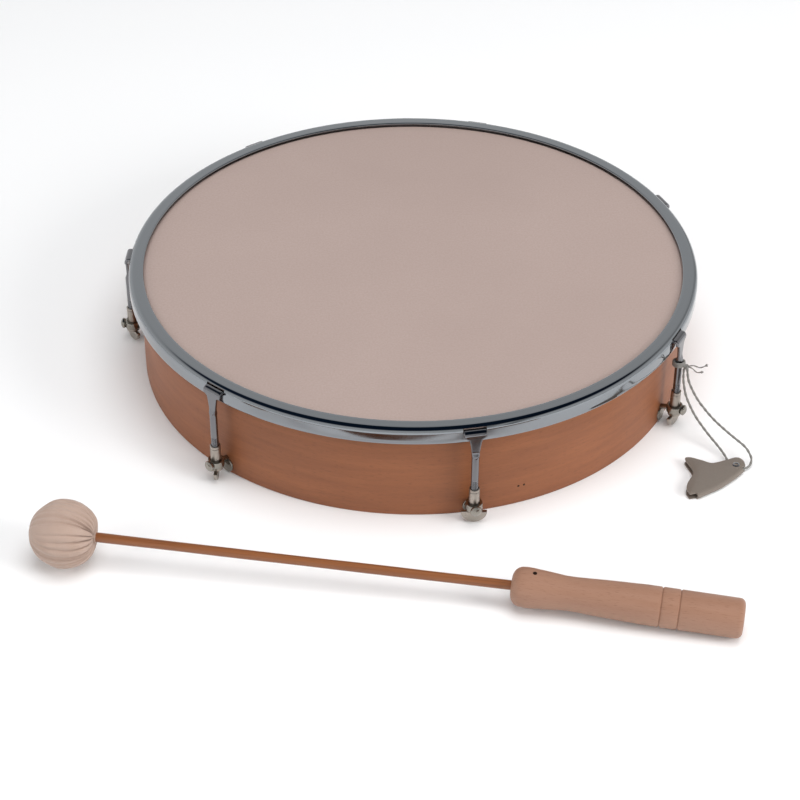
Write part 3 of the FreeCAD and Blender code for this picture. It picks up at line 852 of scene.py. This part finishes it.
def hookWidth(z):
    w = hookWidths
    if z >= w["barLow"]:
        return w["bar"]
    if z >= w["shoulderLow"]:
        t = (w["barLow"] - z) / (w["barLow"] - w["shoulderLow"])
        return w["bar"] + (w["shoulder"] - w["bar"]) * math.sin(t * math.pi / 2)
    t = (w["shoulderLow"] - z) / (w["shoulderLow"] - hook["fan"])
    t = min(max(t, 0), 1)
    return w["shoulder"] + (hook["rod"] - w["shoulder"]) * (1 - (1 - t) ** 1.6)


# Each station is a centre, the way the thickness lies, half a thickness, half a width and a squareness
def hookStations():
    h, axis, rod, bend, square = hook["half"], lug["axis"], hook["rod"], hook["bend"], hook["square"]
    outward, upward, bar = Vector((1, 0, 0)), Vector((0, 0, 1)), hookWidths["bar"]
    bendCentre = Vector((axis - h - bend, 0, hook["tongue"] - bend))
    stations = []
    for x, shrink in ((0, 0.75), (0.00015, 0.95), (0.0005, 1.0), (bendCentre.x - hook["tip"], 1.0)):
        centre = Vector((hook["tip"] + x, 0, hook["tongue"] + h))
        stations.append((centre, upward, h * shrink, bar, square))
    for k in range(1, 9):
        a = math.radians(90 - 90 * k / 8)
        n = Vector((math.cos(a), 0, math.sin(a)))
        stations.append((bendCentre + n * (bend + h), n, h, bar, square))
    z = hook["tongue"] - bend
    while z > hook["fan"] - 0.003:
        z -= 0.0003
        t = min(max((hook["roundFrom"] - z) / hook["roundOver"], 0), 1)
        t = t * t * (3 - 2 * t)
        thick, power = h + (rod - h) * t, square + (2 - square) * t
        stations.append((Vector((axis, 0, z)), outward, thick, hookWidth(z), power))
    while z > thread["top"]:
        z -= 0.001
        stations.append((Vector((axis, 0, z)), outward, rod, rod, 2))
    threadFrom = len(stations)
    while z > hook["end"] + 0.0004:
        z -= thread["pitch"] / 8
        stations.append((Vector((axis, 0, z)), outward, rod, rod, 2))
    blunt = rod - thread["end"]
    stations.append((Vector((axis, 0, hook["end"])), outward, blunt, blunt, 2))
    return stations, threadFrom


# How much of its radius a thread's flank keeps at an angle and a height
def threadShrink(angle, z, station):
    phase = (z / thread["pitch"] + angle / (2 * math.pi)) % 1
    fade = min(station / 10, 1)
    return 1 - thread["depth"] * fade * (1 - abs(2 * phase - 1))


def makeHook(index):
    bm = bmesh.new()
    stations, threadFrom = hookStations()
    sides = hook["sides"]
    rows = []
    for s, (centre, n, thick, wide, power) in enumerate(stations):
        row = []
        for k in range(sides):
            a = 2 * math.pi * (k + 0.5) / sides
            c, d = math.cos(a), math.sin(a)
            p, q = abs(c) ** (2 / power), abs(d) ** (2 / power)
            threaded = threadFrom <= s < len(stations) - 1
            shrink = threadShrink(a, centre.z, s - threadFrom) if threaded else 1.0
            across = Vector((0, math.copysign(q * wide * shrink, d), 0))
            row.append(centre + n * math.copysign(p * thick * shrink, c) + across)
        rows.append(row)
    us = [k / sides for k in range(sides + 1)]
    verts = addGrid(bm, rows, us, runLengths([row[0] for row in rows]), across=True)
    for ring in (verts[0], verts[-1]):
        bm.faces.new(ring)
    bmesh.ops.transform(bm, matrix=Matrix.Rotation(lugTurn(index), 4, "Z"), verts=bm.verts)
    number = str(index + 1)
    nodes = ["tension_hook_" + number]
    return makePiece("hook" + number, bm, looks["hook"], "hook_" + number, nodes, 40)


# Tension nuts: a barrel with a collar and a half-round tab below the eye
nut = {
    "bore": 0.00204,
    "boreLow": 0.0096,
    "radius": 0.0028,
    "top": 0.0226,
    "collar": 0.0035,
    "collarTop": 0.00895,
    "tabTop": 0.00745,
    "edge": 0.0003,
}
tab = {"radius": 0.0068, "half": 0.0010, "bevel": 0.0004}


def makeTensionNut(index):
    bm = bmesh.new()
    r, c, bore, edge = nut["radius"], nut["collar"], nut["bore"], nut["edge"]
    top, collarTop, tabTop = nut["top"], nut["collarTop"], nut["tabTop"]
    profile = [(0, nut["boreLow"]), (bore, nut["boreLow"]), (bore, top - 0.0004), (bore + edge, top)]
    profile += [(r - edge, top), (r, top - edge)]
    # A shallow ring is turned below the sleeve's top
    profile += [(r, top - 0.0012), (r - 0.0002, top - 0.0014)]
    profile += [(r - 0.0002, top - 0.0018), (r, top - 0.0020)]
    profile += [(r, collarTop + 0.0001), (r, collarTop), (c - edge, collarTop), (c, collarTop - edge)]
    profile += [(c, tabTop - 0.0002), (c - edge, tabTop - 0.0005), (0, tabTop - 0.0005)]
    addTurned(bm, profile, 40, False)
    plate = bmesh.new()
    addPrism(plate, arc(0, 0, tab["radius"], 180, 360, 36), -tab["half"], tab["half"], tab["bevel"], 3)
    merge(bm, plate, Matrix.Translation((0, 0, tabTop)) @ Matrix.Rotation(math.pi / 2, 4, "X"))
    turn = lugTurn(index)
    place = Matrix.Rotation(turn, 4, "Z") @ Matrix.Translation((lug["axis"], 0, 0))
    place = place @ Matrix.Rotation(math.radians(tabDirections[index]) - turn, 4, "Z")
    bmesh.ops.transform(bm, matrix=place, verts=bm.verts)
    number = str(index + 1)
    nodes = ["tension_nut_" + number]
    return makePiece("tensionNut" + number, bm, looks["nut"], "nut_" + number, nodes, 35)


# Brackets: a round foot on the shell, an arm up to the eye, a cap and the stud behind
bracket = {
    "eye": 0.0044,
    "bore": 0.00285,
    "half": 0.0021,  # half the eye's height
    "round": 0.0007,
    "arm": 0.0015,
    "armStart": 0.0091,
    "armEnd": (0.1574, -0.0004),  # distance from the drum's axis, and height from the eye's middle
    "cap": 0.0029,
    "capNeck": 0.0018,
    "capFrom": 0.0032,  # from the eye's axis
    "capEnd": 0.1673,
    "dome": 0.0012,
    "sunk": 0.0002,  # how far the foot and the arm are let into the shell
}
foot = {"height": 0.0049, "radius": 0.0043, "thick": 0.0010, "edge": 0.0006}
stud = {"from": 0.1415, "radius": 0.0020, "root": 0.00178, "pitch": 0.0007, "threaded": 0.0095}
washer = {"bore": 0.00215, "radius": 0.0045, "thick": 0.0008, "edge": 0.0002, "from": 0.14550}
innerNut = {"half": 0.0035, "thick": 0.0032, "bevel": 0.0003, "from": 0.14230}


def addFoot(bm, start):
    r, edge = foot["radius"], foot["edge"]
    thick = foot["thick"] + bracket["sunk"]
    profile = [(0, 0), (r, 0), (r, thick - edge)]
    profile += arc(r - edge, thick - edge, edge, 0, 90, 6)[1:] + [(0, thick)]
    addTurned(bm, profile, 48, False, along(start, foot["height"]))


def addArm(bm, start):
    distance, rise = bracket["armEnd"]
    low, high = Vector((start, 0, bracket["armStart"])), Vector((distance, 0, lug["eye"] + rise))
    turn = (high - low).to_track_quat("Z", "Y").to_matrix().to_4x4()
    bmesh.ops.create_cone(
        bm,
        cap_ends=True,
        segments=24,
        radius1=bracket["arm"],
        radius2=bracket["arm"],
        depth=(high - low).length,
        matrix=Matrix.Translation((low + high) / 2) @ turn,
    )


def addEye(bm):
    low, high = lug["eye"] - bracket["half"], lug["eye"] + bracket["half"]
    bore, eye = bracket["bore"], bracket["eye"]
    ring = rounded([(bore, low), (eye, low), (eye, high), (bore, high)], bracket["round"], 4)
    addTurned(bm, ring, 48, True, Matrix.Translation((lug["axis"], 0, 0)))


def addCap(bm):
    r, neck, rise = bracket["cap"], bracket["capNeck"], bracket["dome"]
    start = lug["axis"] + bracket["capFrom"]
    length = bracket["capEnd"] - start
    domeRadius = (rise**2 + r**2) / (2 * rise)
    widest = math.asin(r / domeRadius)
    profile = [(0, 0), (neck, 0), (neck, 0.0010), (r - 0.0003, 0.0011), (r, 0.0014)]
    for k in range(9):
        a = widest * (1 - k / 8)
        profile.append((domeRadius * math.sin(a), length - domeRadius + domeRadius * math.cos(a)))
    addTurned(bm, profile, 32, False, along(start, lug["eye"]))


def addStud(bm, end):
    r, length = stud["radius"], end - stud["from"]
    profile = [(0, 0), (0.0015, 0)]
    z = 0.0004
    while z < stud["threaded"]:
        profile += [(r, z), (stud["root"], z + stud["pitch"] / 2)]
        z += stud["pitch"]
    profile += [(r, length), (0, length)]
    addTurned(bm, profile, 24, False, along(stud["from"], foot["height"]))


def makeBracket(index):
    bm = bmesh.new()
    start = shell["outer"] - bracket["sunk"]
    addFoot(bm, start)
    addArm(bm, start)
    addEye(bm)
    addCap(bm)
    addStud(bm, start)
    bmesh.ops.transform(bm, matrix=Matrix.Rotation(lugTurn(index), 4, "Z"), verts=bm.verts)
    number = str(index + 1)
    nodes = ["bracket_" + number]
    return makePiece("bracket" + number, bm, looks["nickel"], "drum", nodes, 35)


def makeWashers():
    bm = bmesh.new()
    bore, r, thick = washer["bore"], washer["radius"], washer["thick"]
    ring = rounded([(bore, 0), (r, 0), (r, thick), (bore, thick)], washer["edge"], 2)
    for index in range(lug["count"]):
        place = Matrix.Rotation(lugTurn(index), 4, "Z") @ along(washer["from"], foot["height"])
        addTurned(bm, ring, 40, True, place)
    return makePiece("bracketWashers", bm, looks["zinc"], "drum", ["bracket_washers"])


def makeInnerNuts():
    bm = bmesh.new()
    corner = innerNut["half"] / math.cos(math.pi / 6)
    hexagon = [(corner * math.cos(math.pi * k / 3), corner * math.sin(math.pi * k / 3)) for k in range(6)]
    for index in range(lug["count"]):
        part = bmesh.new()
        addPrism(part, hexagon, 0, innerNut["thick"], innerNut["bevel"], 2)
        place = Matrix.Rotation(lugTurn(index), 4, "Z") @ along(innerNut["from"], foot["height"])
        merge(bm, part, place)
    return makePiece("bracketNuts", bm, looks["zinc"], "drum", ["bracket_nuts"])


makeShell()
makeBrads()
makeSkin()
makeFleshHoop()
makeCounterhoop()
print("shell and head made")
for index in range(lug["count"]):
    makeHook(index)
    makeTensionNut(index)
    makeBracket(index)
makeWashers()
makeInnerNuts()
print("lugs made")

# Beater, built with its ball at the origin and its shaft along +X
ball = {
    "radius": 0.0178,
    "flat": 0.0159,  # where the gathers flatten the ball round the shaft
    "corner": 0.0012,
    "place": (-0.1732, -0.1900),
    "yaw": -7.65,
    "pleats": 28,
}
cloth = {
    "around": 360,
    "rings": 130,
    "mouth": 7,  # degrees round the shaft that the gathers leave open
    "slack": 0.0001,
    "fold": 0.0024,
    "lump": 0.0009,
    "lumpScale": 90,
    "width": 0.075,
}
tie = {"radius": 0.0004, "around": 0.0028, "start": 0.0149, "length": 0.0015, "turns": 3}
handle = {
    "start": 0.2247,
    "length": 0.1135,
    "yaw": -2.5,
    "grip": 0.0099,
    "rear": 0.0030,  # round of the rear end
    "nose": 0.0055,
    "grooves": (0.0733, 0.0822),
    "boreDepth": 0.02,
    "pin": 0.011,
}
handleBody = [
    (0.0055, 0.0099, 0), (0.0090, 0.0100, 0), (0.0190, 0.0092, 0),
    (0.0290, 0.0085, 0), (0.0475, 0.00927, 0), (0.0660, 0.0099, 0),
]
pin = {"radius": 0.00105, "from": 0.0080, "to": 0.01001}
cane = {"radius": 0.0024, "from": 0.0150, "to": 0.2300, "stops": 160, "sides": 28}


def beaterPlace():
    reach = handle["start"] + handle["length"] - handle["rear"]
    pitch = math.asin((ball["radius"] - handle["grip"]) / reach)
    turn = Matrix.Rotation(math.radians(ball["yaw"]), 4, "Z") @ Matrix.Rotation(pitch, 4, "Y")
    return Matrix.Translation((ball["place"][0], ball["place"][1], ball["radius"])) @ turn


beaterMatrix = beaterPlace()
handleMatrix = beaterMatrix @ Matrix.Translation((handle["start"], 0, 0))
handleMatrix = handleMatrix @ Matrix.Rotation(math.radians(handle["yaw"]), 4, "Z")
alongX = Matrix.Rotation(math.pi / 2, 4, "Y")


# How far the cloth folds in, from 0 to 1, at an angle round the shaft and a share of the way from it
def pleatDepth(angle, reach):
    total = 0.0
    for k, (centre, width, depth, tail) in enumerate(pleats):
        wander = 0.10 * math.sin(3 * reach + k)
        away = (angle - centre - wander + math.pi) % (2 * math.pi) - math.pi
        spread = width * (0.35 + 1.1 * reach)
        total = max(total, depth * math.exp(-((away / spread) ** 2)) * max(0.0, 1 - reach / tail))
    return total


pleats = []
for k in range(ball["pleats"]):
    centre = 2 * math.pi * (k + random.uniform(-0.25, 0.25)) / ball["pleats"]
    pleats.append((centre, random.uniform(0.04, 0.08), random.uniform(0.5, 1.0), random.uniform(0.7, 1.25)))


# Cotton gathered over the ball, its pleats running out from the shaft
def makeCloth():
    bm = bmesh.new()
    around, rings = cloth["around"], cloth["rings"]
    rows = []
    for j in range(around):
        a = 2 * math.pi * j / around
        row = []
        for i in range(rings + 1):
            reach = i / rings
            polar = math.radians(cloth["mouth"] + (180 - cloth["mouth"]) * reach)
            radius = ball["radius"] - cloth["slack"]
            x = radius * math.cos(polar)
            side = radius * math.sin(polar)
            blend = min(1.0, max(0.0, 0.5 + 0.5 * (ball["flat"] - x) / ball["corner"]))
            x = ball["flat"] + (x - ball["flat"]) * blend - ball["corner"] * blend * (1 - blend)
            fold = pleatDepth(a, reach)
            depth = cloth["fold"] * fold * min(1, 0.25 + reach * 6)
            spot = Vector((x, math.cos(a) * side, math.sin(a) * side)) * cloth["lumpScale"]
            lumps = cloth["lump"] * noise.noise(spot)
            scale = 1 - (depth - min(lumps, 0.0)) / radius
            row.append(Vector((x * scale, side * scale * math.cos(a), side * scale * math.sin(a))))
        # The cloth's edge is tucked in along the shaft
        rows.append([Vector((row[0].x - 0.004, row[0].y * 0.9, row[0].z * 0.9))] + row)
    us = runLengths(rows[0])
    vs = [cloth["width"] * j / around for j in range(around + 1)]
    addGrid(bm, rows, us, vs, along=True)
    bmesh.ops.holes_fill(bm, edges=[e for e in bm.edges if e.is_boundary], sides=0)
    bmesh.ops.transform(bm, matrix=beaterMatrix, verts=bm.verts)
    nodes = ["beater_cloth", "beater_core"]
    return makePiece("beaterCloth", bm, looks["cloth"], "beater", nodes, 80)


def makeTie():
    bm = bmesh.new()
    line, stops = [], 159
    for k in range(stops + 1):
        t = k / stops
        a = 2 * math.pi * tie["turns"] * t
        x = tie["start"] + tie["length"] * t
        line.append(Vector((x, tie["around"] * math.cos(a), tie["around"] * math.sin(a))))
    addTube(bm, line, lambda t: tie["radius"], 8, 2, 0.002)
    bmesh.ops.transform(bm, matrix=beaterMatrix, verts=bm.verts)
    return makePiece("clothTie", bm, looks["cloth"], "beater", ["cloth_tie"], 60)


def makeCane():
    bm = bmesh.new()
    stops, sides = cane["stops"], cane["sides"]
    vs = [cane["from"] + (cane["to"] - cane["from"]) * s / stops for s in range(stops + 1)]
    rows = []
    for x in vs:
        # A cane swells and wanders a little along its length
        swell = 1 + 0.02 * math.sin(x * 90) + 0.015 * math.sin(x * 41 + 1)
        row = []
        for k in range(sides):
            a = 2 * math.pi * k / sides
            r = min(cane["radius"] * swell * (1 + 0.012 * math.sin(3 * a + x * 20)), cane["radius"] * 1.03)
            row.append(Vector((x, r * math.cos(a), r * math.sin(a))))
        rows.append(row)
    us = [0.015 * k / sides for k in range(sides + 1)]
    verts = addGrid(bm, rows, us, vs, across=True)
    for ring in (verts[0], verts[-1]):
        bm.faces.new(ring)
    bmesh.ops.transform(bm, matrix=beaterMatrix, verts=bm.verts)
    return makePiece("beaterCane", bm, looks["cane"], "beater", ["beater_cane"], 60)


def makeHandle():
    bm = bmesh.new()
    grip, end, rear, nose = handle["grip"], handle["length"], handle["rear"], handle["nose"]
    bore = cane["radius"]
    profile = [(0.0, handle["boreDepth"]), (bore, handle["boreDepth"])]
    profile += [(bore, 0.0004), (bore + 0.0002, 0.0)]
    profile += arc(grip - nose, nose, nose, -90, -10, 8)
    profile += [(p.y, p.x) for p in spline(handleBody, 8)]
    for place in handle["grooves"]:
        profile += [(grip, place - 0.0007), (grip - 0.0001, place - 0.00045), (grip - 0.0006, place)]
        profile += [(grip - 0.0001, place + 0.00045), (grip, place + 0.0007)]
    profile += [(grip, 0.098)]
    profile += arc(grip - rear, end - rear, rear, 0, 90, 8)
    profile += [(0.003, end), (0.0, end)]
    addTurned(bm, profile, 96, False, alongX)
    bmesh.ops.transform(bm, matrix=handleMatrix, verts=bm.verts)
    return makePiece("beaterHandle", bm, looks["beech"], "beater", ["beater_handle"], 30)


def makePin():
    bm = bmesh.new()
    r, start, end = pin["radius"], pin["from"], pin["to"]
    profile = [(0, start), (r, start), (r, end), (r - 0.00025, end + 0.00001), (0, end - 0.00006)]
    addTurned(bm, profile, 20, False)
    place = handleMatrix @ Matrix.Translation((handle["pin"], 0, 0))
    bmesh.ops.transform(bm, matrix=place, verts=bm.verts)
    return makePiece("handlePin", bm, looks["brad"], "beater", ["handle_pin"])


beaterCloth = makeCloth()
makeTie()
makeCane()
makeHandle()
makePin()
print("beater made")


# Floor, backdrop and light
def makeFloor():
    mat, tree, shader = newLook("paleFloor", tint(250, 250, 250), 0.6)
    bm = bmesh.new()
    bmesh.ops.create_grid(bm, x_segments=1, y_segments=1, size=6)
    mesh = bpy.data.meshes.new("floor")
    bm.to_mesh(mesh)
    bm.free()
    mesh.materials.append(mat)
    floor = bpy.data.objects.new("floor", mesh)
    scene.collection.objects.link(floor)


surround = {
    "sky": [
        (0.0, grey(0.9)), (0.45, grey(0.78)), (0.66, grey(0.6)),
        (0.76, (0.012, 0.026, 0.052, 1)), (1.0, (0.006, 0.014, 0.030, 1)),
    ],
    "walls": [
        (0.0, grey(1)), (0.36, grey(0.9)), (0.43, grey(0.3)),
        (0.5, grey(0.95)), (0.58, grey(0.35)), (0.66, grey(1)),
    ],
}


# A pale room with a dark ceiling, so that polished edges have something to reflect
def makeWorld():
    world = bpy.data.worlds.new("studio")
    world.use_nodes = True
    tree = world.node_tree
    parts = node(tree, "SeparateXYZ", [("Vector", node(tree, "TexCoord").outputs["Generated"])])
    sky = ramp(tree, parts.outputs["Z"], surround["sky"])
    walls = ramp(tree, parts.outputs["X"], surround["walls"])
    background = tree.nodes["Background"]
    tree.links.new(mixed(tree, 1.0, sky, walls, "MULTIPLY"), background.inputs["Color"])
    background.inputs["Strength"].default_value = 1.0
    scene.world = world


lights = {
    "overhead": {"place": (0.2, -0.3, 1.8), "size": 1.6, "power": 24},
    "right": {"place": (1.5, -0.9, 0.9), "size": 0.9, "power": 17},
    "left": {"place": (-1.4, -0.8, 0.8), "size": 0.9, "power": 5},
}


# A round light that faces the drum
def makeLight(name, place, size, power):
    data = bpy.data.lights.new(name, "AREA")
    data.shape = "DISK"
    data.size = size
    data.energy = power
    obj = bpy.data.objects.new(name, data)
    direction = -Vector(place)
    obj.matrix_world = Matrix.Translation(place) @ direction.to_track_quat("-Z", "Y").to_matrix().to_4x4()
    obj.visible_glossy = False
    scene.collection.objects.link(obj)


makeFloor()
makeWorld()
for name, light in lights.items():
    makeLight(name, light["place"], light["size"], light["power"])
scene.view_settings.view_transform = "Standard"
print("stage made")
